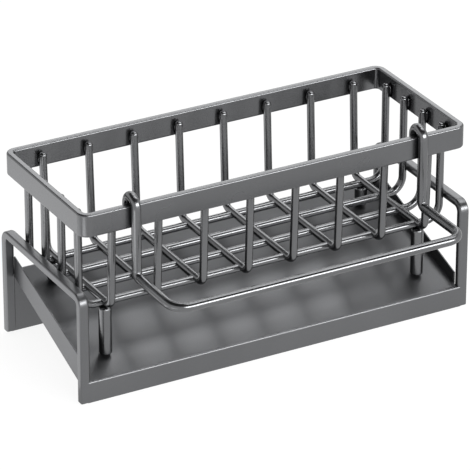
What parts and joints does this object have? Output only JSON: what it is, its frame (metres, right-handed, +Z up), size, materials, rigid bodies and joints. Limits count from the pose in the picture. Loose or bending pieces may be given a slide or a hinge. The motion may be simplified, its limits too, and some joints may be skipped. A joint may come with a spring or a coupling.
{
  "type": "sponge holder",
  "caption": "Free-standing sponge holder: a welded wire basket that drops between the side frames of a sloped drip tray, with a lift-off towel bar hooked over its front rim.",
  "frame": {"origin": "on the counter, under the middle of the whole holder's box", "axes": "+X to the right along the basket, +Y from the towel bar to the back, +Z up"},
  "size_m": [0.2294, 0.1372, 0.1119],
  "materials": {
    "tray_coating": "satin gunmetal coat",
    "rim_coating": "satin gunmetal coat",
    "wire_coating": "semi-gloss gunmetal coat",
    "towel_bar_coating": "semi-gloss gunmetal coat"
  },
  "bodies": {
    "tray": {"left_side_frame": "tray_coating", "right_side_frame": "tray_coating", "front_apron": "tray_coating", "back_apron": "tray_coating", "drip_pan": "tray_coating"},
    "basket": {"rim_band": "rim_coating", "cross_wire_1": "wire_coating", "cross_wire_2": "wire_coating", "cross_wire_3": "wire_coating", "cross_wire_4": "wire_coating", "cross_wire_5": "wire_coating", "cross_wire_6": "wire_coating", "cross_wire_7": "wire_coating", "cross_wire_8": "wire_coating", "long_wire_1": "wire_coating", "long_wire_2": "wire_coating", "long_wire_3": "wire_coating", "long_wire_4": "wire_coating", "leg_front_left": "wire_coating", "leg_front_right": "wire_coating", "leg_back_left": "wire_coating", "leg_back_right": "wire_coating"},
    "towel_bar": {"towel_bar": "towel_bar_coating"}
  },
  "joints": [
    {"name": "basket_lift", "type": "slide", "parent": "tray", "child": "basket", "axis": [0, 0, 1], "range_m": [0, 0.08]},
    {"name": "towel_bar_lift", "type": "slide", "parent": "basket", "child": "towel_bar", "axis": [0, 0, 1], "range_m": [0, 0.04]}
  ]
}
